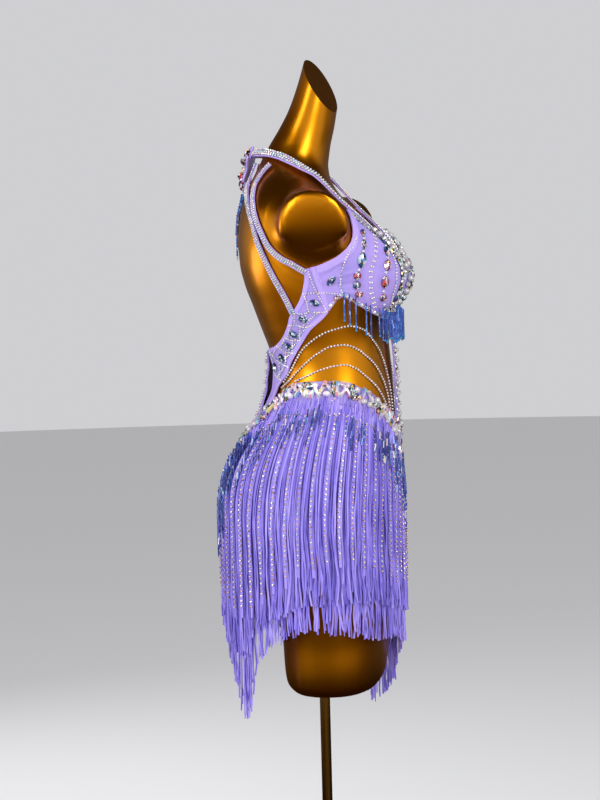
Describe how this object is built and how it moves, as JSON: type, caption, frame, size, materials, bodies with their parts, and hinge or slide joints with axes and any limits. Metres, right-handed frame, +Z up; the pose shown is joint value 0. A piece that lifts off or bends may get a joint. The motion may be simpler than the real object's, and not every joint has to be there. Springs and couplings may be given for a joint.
{
  "type": "latin dance dress on a limbless dress form",
  "caption": "Lilac latin dance dress with open back, stone-set cups, straps, chains and belt, and long hip fringe with a pointed hem, on a gold limbless dress form with rod and base.",
  "frame": {"origin": "centre of the base plate's underside, on the axis of the stand's rod", "axes": "+Z up; the figure faces -Y; its right side is -X"},
  "size_m": [0.3612, 0.36, 1.5759],
  "materials": {
    "gold_lacquer": "glossy metallic gold lacquer",
    "dark_brass": "polished dark brass colour",
    "lilac_stretch_cloth": "satin stretch cloth",
    "violet_fringe": "silky twisted fringe",
    "crystal_stones": "faceted iridescent stones and pearls on cloth",
    "blue_bugle_beads": "glossy blue bugle beads"
  },
  "bodies": {
    "root": {"dress_form": "gold_lacquer", "stand_rod": "dark_brass", "stand_base": "dark_brass", "hip_yoke": "lilac_stretch_cloth", "hip_belt": "crystal_stones", "cup_right": "lilac_stretch_cloth", "cup_left": "lilac_stretch_cloth", "wing_right": "lilac_stretch_cloth", "wing_left": "lilac_stretch_cloth", "back_panel": "lilac_stretch_cloth", "front_panel": "lilac_stretch_cloth", "neck_band": "crystal_stones", "back_strap_inner_right": "crystal_stones", "back_strap_inner_left": "crystal_stones", "back_strap_outer_right": "crystal_stones", "back_strap_outer_left": "crystal_stones", "neck_ornament": "crystal_stones", "neck_tassel": "blue_bugle_beads", "bust_fringe_right": "blue_bugle_beads", "bust_fringe_left": "blue_bugle_beads", "fringe_outer": "violet_fringe", "fringe_inner": "violet_fringe", "side_chain_right_1": "crystal_stones", "side_chain_right_2": "crystal_stones", "side_chain_right_3": "crystal_stones", "side_chain_left_1": "crystal_stones", "side_chain_left_2": "crystal_stones", "side_chain_left_3": "crystal_stones"}
  },
  "joints": []
}
